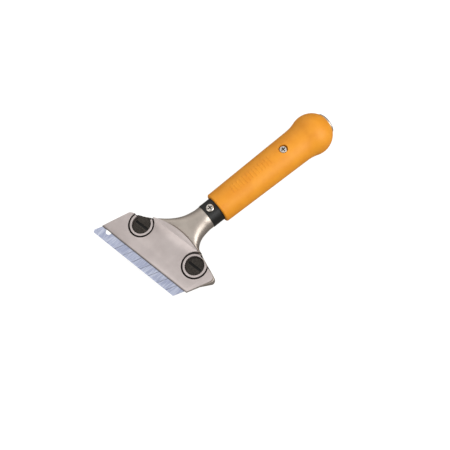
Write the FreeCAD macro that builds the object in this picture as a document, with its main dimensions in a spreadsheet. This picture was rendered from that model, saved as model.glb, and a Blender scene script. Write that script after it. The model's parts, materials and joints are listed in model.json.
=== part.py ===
"""Hand floor scraper that clamps an 18 mm snap-off blade sideways.

The handle's axis lies along +Y and the screws face +Z. The head is turned about Z by the skew angle,
so its pieces are drawn in the head's own frame: X along the cutting edge, Y towards the handle, and
the origin midway between the two clamp screws, on the plane of the sole.
"""
import FreeCAD, Part
import math
import os
import re

import Sketcher
from FreeCAD import Placement, Rotation, Vector

SIZES = {
    # head, seen from above
    "head_skew": 12.0,
    "screw_spacing": 64.0,
    "front_reach": 22.8,
    "left_front": 61.0,
    "right_front": 41.0,
    "left_rear": 48.4,
    "left_rear_reach": 2.4,
    "right_rear": 54.3,
    "right_rear_reach": 1.4,
    "shoulder_half_width": 27.0,
    "shoulder_reach": 11.5,
    "arch_rise": 4.6,
    "corner_radius": 4.0,
    "jaw_ledge": 1.2,
    "jaw_ledge_start": 12.0,
    "jaw_rim_round": 0.7,
    "heel_overlap": 0.5,
    "sole_chamfer": 1.2,
    # head, heights above the sole
    "blade_seat": 7.9,
    "jaw_top": 9.4,
    "lip_thickness": 1.1,
    "sole_front": 0.5,
    "sole_ramp": 11.5,
    "plate_top": 12.0,
    "plate_slope": 6.0,
    "land_start": 2.0,
    "land_radius": 36.0,
    "open_side_depth": 2.4,
    "open_side_width": 15.0,
    "plate_gap": 0.4,
    "heel_length": 34.0,
    "heel_width": 3.0,
    "heel_reach": 7.0,
    # ringed pockets
    "ring_clearance": 0.3,
    "ring_wall": 1.9,
    "groove_width": 1.6,
    "cup_wall": 0.8,
    "cup_floor": 1.2,
    "cup_clearance": 0.3,
    "housing_wall": 1.2,
    "housing_floor": 1.2,
    "housing_start": 2.0,
    "groove_depth": 4.6,
    # clamp screws and what is on them
    "screw_recess": 2.6,
    "screw_head_diameter": 17.2,
    "screw_head_height": 2.2,
    "screw_head_chamfer": 0.4,
    "coin_slot_width": 2.2,
    "coin_slot_length": 14.0,
    "coin_slot_depth": 1.3,
    "screw_thread": 6.0,
    "thread_clearance": 0.05,
    "screw_tip_gap": 0.3,
    "floor_hole_clearance": 0.3,
    "washer_diameter": 13.0,
    "washer_thickness": 0.5,
    "washer_clearance": 0.15,
    "clip_diameter": 10.2,
    "clip_thickness": 0.6,
    "clip_groove_depth": 0.4,
    "clip_gap": 0.1,
    "clip_pit_clearance": 0.4,
    "insert_diameter": 9.0,
    "insert_height": 4.2,
    # blade
    "blade_length": 100.0,
    "blade_width": 18.0,
    "blade_thickness": 0.5,
    "blade_left_tip": 66.2,
    "blade_reach": 32.3,
    "blade_end_angle": 60.0,
    "blade_bevel": 1.4,
    "blade_edge": 0.06,
    "blade_hole": 6.0,
    "blade_hole_inset": 11.4,
    "blade_nick": 2.5,
    "segment_pitch": 10.4,
    "segment_count": 7,
    "last_segment": 8.8,
    "score_width": 0.35,
    "score_depth": 0.14,
    # neck and spigot
    "handle_height": 6.0,
    "neck_diameter": 22.5,
    "neck_end": 44.0,
    "flare_end": 38.0,
    "flare_root": 12.5,
    "flare_decay": 8.85,
    "flare_half_width": 28.5,
    "flare_offset": 1.4,
    "flare_top": 11.9,
    "flare_squareness": 1.8,
    "flare_overlap": 4.0,
    "spigot_length": 34.0,
    "joint_overlap": 1.0,
    # tube
    "tube_diameter": 23.3,
    "tube_wall": 1.6,
    "tube_length": 105.6,
    "tube_fit": 0.05,
    "collar_length": 12.4,
    "plug_length": 24.0,
    # cross-head screws
    "neck_screw_reach": 5.9,
    "small_head_diameter": 7.8,
    "small_head_height": 2.4,
    "small_head_round": 1.3,
    "small_thread": 4.0,
    "small_tip_taper": 0.6,
    "small_tip_length": 1.0,
    "small_hole_clearance": 0.15,
    "neck_screw_length": 10.0,
    "small_seat_depth": 0.5,
    "small_seat_clearance": 0.25,
    "cross_width": 1.0,
    "cross_length": 4.6,
    "cross_depth": 1.4,
    "grip_screw_inset": 13.9,
    "grip_screw_length": 9.0,
    "grip_screw_sink": 1.0,
    "screw_hole_gap": 0.3,
    "grip_recess_clearance": 0.4,
    # grip and strike cap
    "grip_front_diameter": 29.9,
    "grip_edge_round": 1.5,
    "grip_rear_diameter": 33.7,
    "grip_flare_radius": 36.0,
    "ball_diameter": 40.0,
    "ball_beyond_tube": 19.9,
    "grip_fit": 0.05,
    "tube_end_gap": 0.3,
    "cap_diameter": 21.2,
    "cap_fit": 0.2,
    "cap_sink": 1.4,
    "cap_height": 2.4,
    "cap_crown": 1.6,
    "cap_flat": 9.0,
    "cap_roundness": 1.2,
    "stem_diameter": 8.0,
    "stem_fit": 0.1,
    "stem_depth": 6.0,
    "stem_end_gap": 0.5,
}

doc = FreeCAD.newDocument("FloorScraper")
sheet = doc.addObject("Spreadsheet::Sheet", "Sizes")
for row, (size_name, size) in enumerate(SIZES.items(), start=1):
    sheet.set("A%d" % row, size_name)
    sheet.set("B%d" % row, str(size))
    sheet.setAlias("B%d" % row, size_name)
doc.recompute()

# Places that several pieces share, written from the sizes.
SLANT = "tan(90 - blade_end_angle)"
BLADE_BACK = "(blade_reach - blade_width)"
SCREW_FACE = "(plate_top - screw_recess)"
SCREW_UNDER = "(plate_top - screw_recess - screw_head_height)"
CUP_FLOOR_TOP = "(plate_top - screw_recess - screw_head_height - washer_thickness)"
CUP_BOTTOM = "(plate_top - screw_recess - screw_head_height - washer_thickness - cup_floor)"
RING_BORE = "(screw_head_diameter + 2 * ring_clearance)"
RING_OUTER = "(screw_head_diameter + 2 * ring_clearance + 2 * ring_wall)"
POCKET_BORE = "(screw_head_diameter + 2 * ring_clearance + 2 * ring_wall + 2 * groove_width)"
CLIP_GROOVE = "(screw_thread / 2 - clip_groove_depth)"
PLATE_UNDER = "(jaw_top + plate_gap)"
CUP_POCKET = POCKET_BORE + " + 2 * cup_wall + 2 * cup_clearance"
TUBE_INNER = "(tube_diameter / 2 - tube_wall)"
GRIP_FRONT = "(neck_end + collar_length)"
BALL_REACH = "(tube_length - collar_length + ball_beyond_tube)"
GRIP_SCREW_REACH = "(tube_length - collar_length - grip_screw_inset)"
TUBE_END = "(neck_end + tube_length)"
CAP_SEAT = "(%s + sqrt((ball_diameter / 2) ^ 2 - (cap_diameter / 2 + cap_fit) ^ 2) - cap_sink)" % BALL_REACH


def full(text):
    """The expression with each size's name pointing at its cell."""
    return re.sub(r"[a-z_]+", lambda found: ("Sizes." if found[0] in SIZES else "") + found[0], str(text))


def value(text):
    """The number that an expression in sizes gives."""
    return float(sheet.evalExpression(full(text)))


def bind(thing, *pairs):
    """Tie properties to expressions in the sheet."""
    for path, text in pairs:
        thing.setExpression(path, full(text))


def body_named(name):
    body = doc.addObject("PartDesign::Body", name)
    body.Label = name
    return body


def attached_sketch(body, plane, name, offset):
    """An empty sketch on one of the body's own planes, moved along the plane's normal."""
    sketch = body.newObject("Sketcher::SketchObject", name)
    support = next(feature for feature in body.Origin.OriginFeatures if feature.Role == plane)
    sketch.AttachmentSupport = [(support, "")]
    sketch.MapMode = "FlatFace"
    bind(sketch, ("AttachmentOffset.Base.z", offset))
    return sketch


def fix_point(sketch, geometry, position, x, y, name):
    """Hold a sketch point at its distances from the origin."""
    for kind, text in (("DistanceX", x), ("DistanceY", y)):
        index = sketch.addConstraint(Sketcher.Constraint(kind, -1, 1, geometry, position, value(text)))
        label = name + kind[-1].lower()
        sketch.renameConstraint(index, label)
        bind(sketch, ("Constraints." + label, text))


def arc_between(start, end, radius, turn):
    """The short arc from start to end; turn is 1 when it runs anticlockwise, -1 when clockwise."""
    half = (end - start) * 0.5
    to_centre = Vector(-half.y, half.x, 0).normalize() * turn
    centre = start + half + to_centre * math.sqrt(radius ** 2 - half.Length ** 2)
    first, last = (start, end) if turn > 0 else (end, start)
    angles = [math.atan2(point.y - centre.y, point.x - centre.x) for point in (first, last)]
    return Part.ArcOfCircle(Part.Circle(centre, Vector(0, 0, 1), radius), angles[0], angles[1])


def closed_outline(sketch, corners, arcs=None):
    """Edges through the corners in turn; arcs maps an edge's number to its radius and turn."""
    arcs = arcs or {}
    base = sketch.GeometryCount
    places = [Vector(value(x), value(y), 0) for x, y in corners]
    ends = []
    for number, start in enumerate(places):
        end = places[(number + 1) % len(places)]
        if number in arcs:
            radius, turn = arcs[number]
            sketch.addGeometry(arc_between(start, end, value(radius), turn))
            ends.append((1, 2) if turn > 0 else (2, 1))
        else:
            sketch.addGeometry(Part.LineSegment(start, end))
            ends.append((1, 2))
    for number, (x, y) in enumerate(corners):
        after = (number + 1) % len(corners)
        sketch.addConstraint(
            Sketcher.Constraint("Coincident", base + number, ends[number][1], base + after, ends[after][0])
        )
        fix_point(sketch, base + number, ends[number][0], x, y, "p%d" % (base + number))
    for number, (radius, turn) in arcs.items():
        index = sketch.addConstraint(Sketcher.Constraint("Radius", base + number, value(radius)))
        label = "arc%d" % (base + number)
        sketch.renameConstraint(index, label)
        bind(sketch, ("Constraints." + label, radius))


def add_circle(sketch, x, y, diameter):
    number = sketch.addGeometry(Part.Circle(Vector(value(x), value(y), 0), Vector(0, 0, 1), value(diameter) / 2))
    fix_point(sketch, number, 3, x, y, "c%d" % number)
    index = sketch.addConstraint(Sketcher.Constraint("Diameter", number, value(diameter)))
    label = "size%d" % number
    sketch.renameConstraint(index, label)
    bind(sketch, ("Constraints." + label, diameter))


def outline_sketch(body, plane, name, corners, arcs=None, offset="0"):
    sketch = attached_sketch(body, plane, name, offset)
    closed_outline(sketch, corners, arcs)
    return sketch


def circle_sketch(body, plane, name, circles, offset="0"):
    sketch = attached_sketch(body, plane, name, offset)
    for x, y, diameter in circles:
        add_circle(sketch, x, y, diameter)
    return sketch


def rectangle(x_low, x_high, y_low, y_high):
    return [(x_low, y_low), (x_high, y_low), (x_high, y_high), (x_low, y_high)]


def grown(body, before, sign):
    """Recompute, and stop if the last feature didn't change the solid the way it should."""
    doc.recompute()
    change = (body.Shape.Volume - before) * sign
    if change <= 1e-6:
        raise RuntimeError("%s: %s changed nothing" % (body.Label, body.Tip.Name))


def extrusion(body, kind, sketch, length, reverse=False, symmetric=False):
    """Pad or pocket the sketch by a length along its plane's normal."""
    before = body.Shape.Volume if body.Tip else 0.0
    feature = body.newObject("PartDesign::" + kind, kind + "_" + sketch.Name)
    feature.Profile = sketch
    feature.SideType = "Symmetric" if symmetric else "One side"
    feature.Reversed = reverse
    bind(feature, ("Length", length))
    grown(body, before, 1 if kind == "Pad" else -1)
    return feature


def pad(body, sketch, length, **ways):
    return extrusion(body, "Pad", sketch, length, **ways)


def cut_up(body, sketch, length):
    """Pocket from the sketch towards +Z."""
    return extrusion(body, "Pocket", sketch, length, reverse=True)


def cut_across(body, sketch, length):
    """Pocket to both sides of the sketch's plane."""
    return extrusion(body, "Pocket", sketch, length, symmetric=True)


def turned_body(name, plane, corners, arcs=None):
    """A body turned about its sketch's vertical axis."""
    body = body_named(name)
    sketch = outline_sketch(body, plane, name + "_profile", corners, arcs)
    turning = body.newObject("PartDesign::Revolution", name + "_turning")
    turning.Profile = sketch
    turning.ReferenceAxis = (sketch, ["V_Axis"])
    grown(body, 0.0, 1)
    return body


def dress(body, kind, size, wanted):
    """Fillet or chamfer the edges of the last feature that wanted() picks."""
    before = body.Shape.Volume
    last = body.Tip
    names = ["Edge%d" % (n + 1) for n, edge in enumerate(last.Shape.Edges) if wanted(edge)]
    feature = body.newObject("PartDesign::" + kind, kind + "_" + last.Name)
    feature.Base = (last, names)
    bind(feature, ("Radius" if kind == "Fillet" else "Size", size))
    doc.recompute()
    if abs(body.Shape.Volume - before) < 1e-6:
        raise RuntimeError("%s: %s changed nothing" % (body.Label, feature.Name))
    return feature


def place(thing, x="0", y="0", z="0", turn=None, axis=Vector(0, 0, 1)):
    """Move a piece to its place, and turn it about an axis if turn is given."""
    thing.Placement = Placement(Vector(0, 0, 0), Rotation(axis, 1.0 if turn else 0.0))
    bind(thing, ("Placement.Base.x", x), ("Placement.Base.y", y), ("Placement.Base.z", z))
    if turn:
        bind(thing, ("Placement.Rotation.Angle", turn))


def is_upright(edge):
    low, high = edge.BoundBox.ZMin, edge.BoundBox.ZMax
    return edge.BoundBox.XLength < 1e-6 and edge.BoundBox.YLength < 1e-6 and high - low > 0.1


def near(edge, x, y, reach=0.5):
    middle = edge.BoundBox.Center
    return math.hypot(middle.x - x, middle.y - y) < reach


def is_level(edge, z):
    return abs(edge.BoundBox.ZMin - z) < 1e-4 and abs(edge.BoundBox.ZMax - z) < 1e-4


# ---------------------------------------------------------------- head

def plate_outline(gap):
    """Corners of the clamp plate seen from above, let out by a gap; the edge after corner 3 is an arch."""
    return [
        ("-left_front - %s" % gap, "-front_reach - %s" % gap),
        ("right_front + %s" % gap, "-front_reach - %s" % gap),
        ("right_rear + %s" % gap, "right_rear_reach"),
        ("shoulder_half_width + %s" % gap, "shoulder_reach + %s" % gap),
        ("-shoulder_half_width - %s" % gap, "shoulder_reach + %s" % gap),
        ("-left_rear - %s" % gap, "left_rear_reach"),
    ]


def arch_radius(gap):
    return "((shoulder_half_width + %s) ^ 2 + arch_rise ^ 2) / (2 * arch_rise)" % gap


def both_screws(diameter):
    return [("-screw_spacing / 2", "0", diameter), ("screw_spacing / 2", "0", diameter)]


def cup_housing(side):
    """The front part of a round boss under a cup's pocket: its two corners, and its arc."""
    radius = "(%s) / 2 + housing_wall" % CUP_POCKET
    half = "sqrt((%s) ^ 2 - housing_start ^ 2)" % radius
    middle = "%d * screw_spacing / 2" % side
    corners = [(middle + " - " + half, "-housing_start"), (middle + " + " + half, "-housing_start")]
    return corners, {0: (radius, 1)}


def jaw_body():
    """Lower jaw: thin lip under the blade, a ledge behind it, and pockets for the plate's two cups."""
    body = body_named("jaw")
    ledge = "jaw_ledge"
    right_slope = "(right_rear - right_front) / (front_reach + right_rear_reach)"
    left_slope = "(left_front - left_rear) / (front_reach + left_rear_reach)"
    corners = [
        ("-left_front", "-front_reach"),
        ("right_front", "-front_reach"),
        ("right_front + (front_reach - jaw_ledge_start) * " + right_slope, "-jaw_ledge_start"),
        ("right_rear + " + ledge, "right_rear_reach"),
        ("shoulder_half_width + " + ledge, "shoulder_reach + " + ledge),
        ("-shoulder_half_width - " + ledge, "shoulder_reach + " + ledge),
        ("-left_rear - " + ledge, "left_rear_reach"),
        ("-left_front + (front_reach - jaw_ledge_start) * " + left_slope, "-jaw_ledge_start"),
    ]
    pad(body, outline_sketch(body, "XY_Plane", "jaw_outline", corners), "jaw_top")
    width = "(left_front + right_rear) * 3"
    above_seat = rectangle("-left_front * 2", "left_front * 2", "-front_reach * 2", "-" + BLADE_BACK)
    cut_up(body, outline_sketch(body, "XY_Plane", "blade_seat_area", above_seat, offset="blade_seat"), "jaw_top")
    under_lip = [
        ("-front_reach * 2", "-jaw_top"),
        ("-sole_front", "-jaw_top"),
        ("-sole_front", "0"),
        ("-sole_ramp", "blade_seat - lip_thickness"),
        ("-front_reach * 2", "blade_seat - lip_thickness"),
    ]
    cut_across(body, outline_sketch(body, "YZ_Plane", "under_lip", under_lip), width)
    dress(body, "Fillet", "corner_radius", lambda edge: is_upright(edge) and (
        near(edge, -value("left_rear + jaw_ledge"), value("left_rear_reach"))
        or near(edge, value("right_rear + jaw_ledge"), value("right_rear_reach"))))
    dress(body, "Fillet", "jaw_rim_round", lambda edge: is_level(edge, value("jaw_top")) and (
        abs(edge.BoundBox.Center.x) > value("shoulder_half_width")))
    dress(body, "Chamfer", "sole_chamfer", lambda edge: is_level(edge, 0.0) and (
        abs(edge.BoundBox.Center.x) > value("shoulder_half_width")))
    floor = CUP_BOTTOM + " - cup_clearance"
    housing_floor = floor + " - housing_floor"
    for side, name in ((-1, "left_housing"), (1, "right_housing")):
        housing = outline_sketch(body, "XY_Plane", name, *cup_housing(side), housing_floor)
        pad(body, housing, "blade_seat - (%s)" % housing_floor)
    pit = "clip_diameter + 2 * clip_pit_clearance"
    pit_floor = "insert_height + clip_gap"
    cut_up(body, circle_sketch(body, "XY_Plane", "clip_pits", both_screws(pit), pit_floor), "jaw_top")
    cut_up(body, circle_sketch(body, "XY_Plane", "insert_bores", both_screws("insert_diameter")), "jaw_top")
    return body


# Where the flare's sections stand, as parts of its length, closer together where it narrows fastest.
FLARE_STATIONS = (0.0, 0.14, 0.29, 0.49, 0.73)


def decay(y):
    """How much of the flare is left at a distance from the screws: 1 at its root, 0 at its end."""
    length = value("flare_decay")
    root = value("flare_root")
    end = value("flare_end")
    left = math.exp(-(y - root) / length) - math.exp(-(end - root) / length)
    return left / (1.0 - math.exp(-(end - root) / length))


def flare_section(y):
    """Rounded section of the neck's flare, from nearly a box at its root to nearly a circle."""
    skew = math.radians(value("head_skew"))
    part_left = min(decay(y), 1.0)
    radius = value("neck_diameter / 2")
    middle_z = value("handle_height")
    top = middle_z + radius - (middle_z + radius - value("flare_top")) * part_left
    bottom = (middle_z - radius) * (1.0 - part_left)
    half_width = radius + (value("flare_half_width") - radius) * part_left
    turn = skew * (1.0 - part_left)
    centre = Vector(math.tan(skew) * y - value("flare_offset") * part_left, y, (top + bottom) / 2)
    power = 2.0 / (2.0 + value("flare_squareness") * part_left)
    points = []
    steps = 28
    for step in range(steps):
        angle = 2.0 * math.pi * step / steps
        across = math.copysign(abs(math.cos(angle)) ** power, math.cos(angle)) * half_width
        up = math.copysign(abs(math.sin(angle)) ** power, math.sin(angle)) * (top - bottom) / 2
        points.append(centre + Vector(across * math.cos(turn), -across * math.sin(turn), up))
    curve = Part.BSplineCurve()
    curve.interpolate(Points=points, PeriodicFlag=True)
    return Part.Wire(curve.toShape())


def flare_shape():
    """Loft from a root parallel to the blade to a circle square to the handle."""
    skew = math.radians(value("head_skew"))
    along = Vector(math.sin(skew), math.cos(skew), 0)
    end = value("flare_end")
    root = value("flare_root")
    length = end - root
    places = [root - value("flare_overlap")] + [root + length * part for part in FLARE_STATIONS]
    sections = [flare_section(y) for y in places]
    centre = Vector(math.tan(skew) * end, end, value("handle_height"))
    circle = Part.Circle(centre, along, value("neck_diameter / 2"))
    circle.XAxis = Vector(math.cos(skew), -math.sin(skew), 0)
    sections.append(Part.Wire(circle.toShape()))
    return Part.makeLoft(sections, True, False)


def along_handle(name, radius, start, length):
    """A cylinder on the handle's axis, in the head's own frame."""
    cylinder = doc.addObject("Part::Cylinder", name)
    bind(cylinder, ("Radius", radius), ("Height", length))
    skew = value("head_skew")
    direction = Rotation(Vector(0, 0, 1), -skew).multVec(Vector(0, 1, 0))
    cylinder.Placement = Placement(Vector(0, 0, 0), Rotation(Vector(0, 0, 1), direction))
    bind(
        cylinder,
        ("Placement.Base.x", "(%s) * sin(head_skew)" % start),
        ("Placement.Base.y", "(%s) * cos(head_skew)" % start),
        ("Placement.Base.z", "handle_height"),
    )
    return cylinder


def head_casting():
    jaw = jaw_body()
    flare = doc.addObject("Part::Feature", "flare")
    flare.Shape = flare_shape()
    neck_start = "flare_end / cos(head_skew)"
    neck = along_handle("neck", "neck_diameter / 2", neck_start, "neck_end - " + neck_start)
    spigot = along_handle("spigot", TUBE_INNER + " - tube_fit", "neck_end - joint_overlap", "spigot_length + joint_overlap")
    joined = doc.addObject("Part::MultiFuse", "joined_casting")
    joined.Shapes = [jaw, flare, neck, spigot]
    room = body_named("plate_room")
    outline = outline_sketch(
        room, "XY_Plane", "plate_room_outline", plate_outline("plate_gap"),
        {3: (arch_radius("plate_gap"), 1)}, "jaw_top")
    pad(room, outline, "plate_top * 2")
    cups = body_named("cup_room")
    pad(cups, circle_sketch(cups, "XY_Plane", "cup_room_circles", both_screws(CUP_POCKET),
                            CUP_BOTTOM + " - cup_clearance"), "plate_top * 2")
    hole = doc.addObject("Part::Cylinder", "neck_screw_hole")
    bind(hole, ("Radius", "small_thread / 2"), ("Height", "neck_diameter"))
    place(hole, "(neck_end + neck_screw_reach) * sin(head_skew)",
          "(neck_end + neck_screw_reach) * cos(head_skew)",
          "handle_height + tube_diameter / 2 - small_seat_depth - neck_screw_length - 1")
    removed = doc.addObject("Part::MultiFuse", "casting_openings")
    removed.Shapes = [room, cups, hole]
    casting = doc.addObject("Part::Cut", "head_casting")
    casting.Base = joined
    casting.Tool = removed
    casting.Label = "head_casting"
    place(casting, turn="head_skew")
    return casting


def open_side():
    """A box over the left cup's rear wall, which is cut away as far as the screw's face."""
    lean = "atan((shoulder_reach - left_rear_reach) / (left_rear - shoulder_half_width))"
    edge_reach = "(shoulder_reach - (screw_spacing / 2 - shoulder_half_width) * tan(%s)) * cos(%s)" % (lean, lean)
    near_side = "(%s - open_side_depth)" % edge_reach
    far_side = "(%s + open_side_depth)" % edge_reach
    corners = []
    for along, out in ((-0.5, near_side), (0.5, near_side), (0.5, far_side), (-0.5, far_side)):
        corners.append((
            "-screw_spacing / 2 - (%s) * open_side_width * cos(%s) - %s * sin(%s)" % (along, lean, out, lean),
            "-(%s) * open_side_width * sin(%s) + %s * cos(%s)" % (along, lean, out, lean)))
    return corners


def clamp_plate():
    """Sloping cover with a pad over the blade, a heel at the rear and a ringed cup for each screw."""
    body = body_named("clamp_plate")
    outline = outline_sketch(body, "XY_Plane", "plate_outline", plate_outline("0"),
                             {3: (arch_radius("0"), 1)}, CUP_BOTTOM)
    pad(body, outline, "plate_top * 2")
    wide = "left_front * 2"
    slope = "tan(plate_slope)"
    land_top = "plate_top + land_start * %s" % slope
    land_end = "shoulder_reach + arch_rise + 1"
    steepest = "asin((%s - land_start) / land_radius + sin(plate_slope))" % land_end
    over = [
        ("-front_reach * 2", "plate_top - front_reach * 2 * " + slope),
        ("land_start", land_top),
        (land_end, "%s + land_radius * (cos(plate_slope) - cos(%s))" % (land_top, steepest)),
        (land_end, "plate_top * 4"),
        ("-front_reach * 2", "plate_top * 4"),
    ]
    cut_across(body, outline_sketch(body, "YZ_Plane", "above_plate", over, {1: ("land_radius", 1)}),
               wide + " * 2")
    under_front = rectangle("-" + wide, wide, "-front_reach * 2", "-%s - plate_gap" % BLADE_BACK)
    cut_up(body, outline_sketch(body, "XY_Plane", "under_pad", under_front, offset=CUP_BOTTOM),
           "blade_seat + blade_thickness - " + CUP_BOTTOM)
    under_rear = attached_sketch(body, "XY_Plane", "under_rear", CUP_BOTTOM)
    closed_outline(under_rear, rectangle("-" + wide, wide, "-%s - plate_gap" % BLADE_BACK, "front_reach * 2"))
    for x, y, diameter in both_screws(POCKET_BORE + " + 2 * cup_wall"):
        add_circle(under_rear, x, y, diameter)
    cut_up(body, under_rear, PLATE_UNDER + " - " + CUP_BOTTOM)
    heel = rectangle("-heel_length / 2", "heel_length / 2", "heel_reach", "heel_reach + heel_width")
    pad(body, outline_sketch(body, "XY_Plane", "heel", heel, offset="jaw_top"), "plate_gap + heel_overlap")
    corners = (("-left_rear", "left_rear_reach"), ("right_rear", "right_rear_reach"))
    dress(body, "Fillet", "corner_radius", lambda edge: is_upright(edge) and any(
        near(edge, value(x), value(y)) for x, y in corners))
    cut_up(body, circle_sketch(body, "XY_Plane", "ring_bores", both_screws(RING_BORE), CUP_FLOOR_TOP),
           "plate_top")
    hole = "screw_thread + 2 * floor_hole_clearance"
    cut_up(body, circle_sketch(body, "XY_Plane", "floor_holes", both_screws(hole)), "plate_top")
    for (x, y, outer), (_, _, inner) in zip(both_screws(POCKET_BORE), both_screws(RING_OUTER)):
        name = "left_groove" if x.startswith("-") else "right_groove"
        groove = circle_sketch(body, "XY_Plane", name, [(x, y, outer), (x, y, inner)],
                               "plate_top - groove_depth")
        cut_up(body, groove, "plate_top")
    ring_tops = circle_sketch(body, "XY_Plane", "ring_tops", both_screws(RING_OUTER + " + groove_width"),
                              "plate_top")
    cut_up(body, ring_tops, "plate_top")
    cut_up(body, outline_sketch(body, "XY_Plane", "open_side", open_side(), offset=SCREW_FACE), "plate_top")
    place(body, turn="head_skew")
    return body


def blade():
    """Snap-off blade lying on its side, bevelled along one long edge and scored across."""
    body = body_named("blade")
    lean = "* " + SLANT
    corners = [
        ("-blade_left_tip + blade_nick", "-blade_reach"),
        ("blade_length - blade_left_tip", "-blade_reach"),
        ("blade_length - blade_left_tip + blade_width " + lean, "-" + BLADE_BACK),
        ("-blade_left_tip + blade_width " + lean, "-" + BLADE_BACK),
        ("-blade_left_tip + blade_nick " + lean, "-blade_reach + blade_nick"),
    ]
    pad(body, outline_sketch(body, "XY_Plane", "blade_outline", corners, offset="blade_seat"), "blade_thickness")
    top = "blade_seat + blade_thickness"
    middle = "blade_seat + blade_thickness / 2"
    for name, face, edge in (
        ("upper_bevel", top, middle + " + blade_edge / 2"),
        ("lower_bevel", "blade_seat", middle + " - blade_edge / 2"),
    ):
        wedge = [
            ("-blade_reach + blade_bevel", face),
            ("-blade_reach", edge),
            ("-blade_reach - 1", edge),
            ("-blade_reach - 1", face),
        ]
        cut_across(body, outline_sketch(body, "YZ_Plane", name, wedge), "blade_length * 3")
    hole = circle_sketch(body, "XY_Plane", "tail_hole", [
        ("-blade_left_tip + blade_width / 2 %s + blade_hole_inset - blade_hole / 2" % lean,
         "-blade_reach + blade_width / 2", "blade_hole")])
    cut_up(body, hole, "plate_top")
    first = "blade_length - blade_left_tip - last_segment"
    score = [
        (first + " - score_width", "-blade_reach"),
        (first, "-blade_reach"),
        (first + " + blade_width " + lean, "-" + BLADE_BACK),
        (first + " - score_width + blade_width " + lean, "-" + BLADE_BACK),
    ]
    line = outline_sketch(body, "XY_Plane", "score", score, offset=top + " - score_depth")
    groove = cut_up(body, line, "blade_thickness")
    repeat = body.newObject("PartDesign::LinearPattern", "scores")
    repeat.Originals = [groove]
    repeat.Direction = (line, ["H_Axis"])
    repeat.Reversed = True
    bind(repeat, ("Length", "segment_pitch * (segment_count - 1)"), ("Occurrences", "segment_count"))
    before = body.Shape.Volume
    body.Tip = repeat
    grown(body, before, -1)
    place(body, turn="head_skew")
    return body


def beside_middle(piece, side):
    """Stand a piece on one screw's axis: side is -1 for the left screw and 1 for the right."""
    place(piece, "%d * screw_spacing / 2 * cos(head_skew)" % side,
          "%d * screw_spacing / 2 * sin(head_skew)" % side, turn="head_skew")
    return piece


def clamp_screw(name, side):
    """Black coin-slot screw with a wide low head and a groove for its retaining ring."""
    head = "screw_head_diameter / 2"
    thread = "screw_thread / 2"
    groove_top = CUP_BOTTOM + " - clip_gap"
    corners = [
        ("0", "screw_tip_gap"),
        (thread, "screw_tip_gap"),
        (thread, groove_top + " - clip_thickness"),
        (CLIP_GROOVE, groove_top + " - clip_thickness"),
        (CLIP_GROOVE, groove_top),
        (thread, groove_top),
        (thread, SCREW_UNDER),
        (head, SCREW_UNDER),
        (head, SCREW_FACE + " - screw_head_chamfer"),
        (head + " - screw_head_chamfer", SCREW_FACE),
        ("0", SCREW_FACE),
    ]
    body = turned_body(name, "XZ_Plane", corners)
    half = "coin_slot_length / 2"
    slot = rectangle("-" + half, half, "-coin_slot_width / 2", "coin_slot_width / 2")
    sketch = outline_sketch(body, "XY_Plane", name + "_slot", slot, offset=SCREW_FACE + " - coin_slot_depth")
    cut_up(body, sketch, "screw_head_height")
    return beside_middle(body, side)


def ring_piece(name, side, inner, outer, low, high):
    """A plain ring on a screw's axis: washer, retaining ring or threaded insert."""
    corners = [(inner, low), (outer, low), (outer, high), (inner, high)]
    return beside_middle(turned_body(name, "XZ_Plane", corners), side)


def screw_set(prefix, side):
    """One clamp screw with its washer, retaining ring and threaded insert."""
    return [
        clamp_screw(prefix + "_clamp_screw", side),
        ring_piece(prefix + "_screw_washer", side, "screw_thread / 2 + washer_clearance", "washer_diameter / 2",
                   CUP_FLOOR_TOP, SCREW_UNDER),
        ring_piece(prefix + "_retaining_ring", side, CLIP_GROOVE, "clip_diameter / 2",
                   CUP_BOTTOM + " - clip_gap - clip_thickness", CUP_BOTTOM + " - clip_gap"),
        ring_piece(prefix + "_thread_insert", side, "screw_thread / 2 + thread_clearance",
                   "insert_diameter / 2", "0", "insert_height"),
    ]


# ---------------------------------------------------------------- handle

def round_hole(body, name, y, diameter, low, high):
    """Cut a hole across a body on the handle's axis, between two heights above that axis."""
    sketch = circle_sketch(body, "XY_Plane", name, [("0", y, diameter)], low)
    cut_up(body, sketch, "%s - (%s)" % (high, low))


def small_screw(name, length):
    """Bright pan-head screw with a cross recess, its head's underside at its own origin."""
    head = "small_head_diameter / 2"
    thread = "small_thread / 2"
    corners = [
        ("0", "-" + length),
        (thread + " - small_tip_taper", "-" + length),
        (thread, "-%s + small_tip_length" % length),
        (thread, "0"),
        (head, "0"),
        (head, "small_head_height - small_head_round"),
        (head + " - small_head_round", "small_head_height"),
        ("0", "small_head_height"),
    ]
    body = turned_body(name, "XZ_Plane", corners, {5: ("small_head_round", 1)})
    for number, (half_x, half_y) in enumerate((("cross_length / 2", "cross_width / 2"),
                                               ("cross_width / 2", "cross_length / 2"))):
        arm = rectangle("-" + half_x, half_x, "-" + half_y, half_y)
        sketch = outline_sketch(body, "XY_Plane", "%s_cross_%d" % (name, number), arm,
                                offset="small_head_height - cross_depth")
        cut_up(body, sketch, "small_head_height")
    return body


def shaft_tube():
    outer = "tube_diameter / 2"
    corners = rectangle(TUBE_INNER, outer, "0", "tube_length")
    body = turned_body("shaft_tube", "XY_Plane", corners)
    seat = "small_head_diameter + 2 * small_seat_clearance"
    clear = "small_thread + 2 * small_hole_clearance"
    round_hole(body, "neck_screw_seat", "neck_screw_reach", seat, outer + " - small_seat_depth", outer + " + 1")
    round_hole(body, "neck_screw_clearance", "neck_screw_reach", clear, "0", outer)
    round_hole(body, "grip_screw_clearance", "collar_length + " + GRIP_SCREW_REACH, clear, "0", outer)
    place(body, y="neck_end", z="handle_height")
    return body


def neck_screw():
    body = small_screw("neck_screw", "neck_screw_length")
    place(body, y="neck_end + neck_screw_reach", z="handle_height + tube_diameter / 2 - small_seat_depth")
    return body


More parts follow.
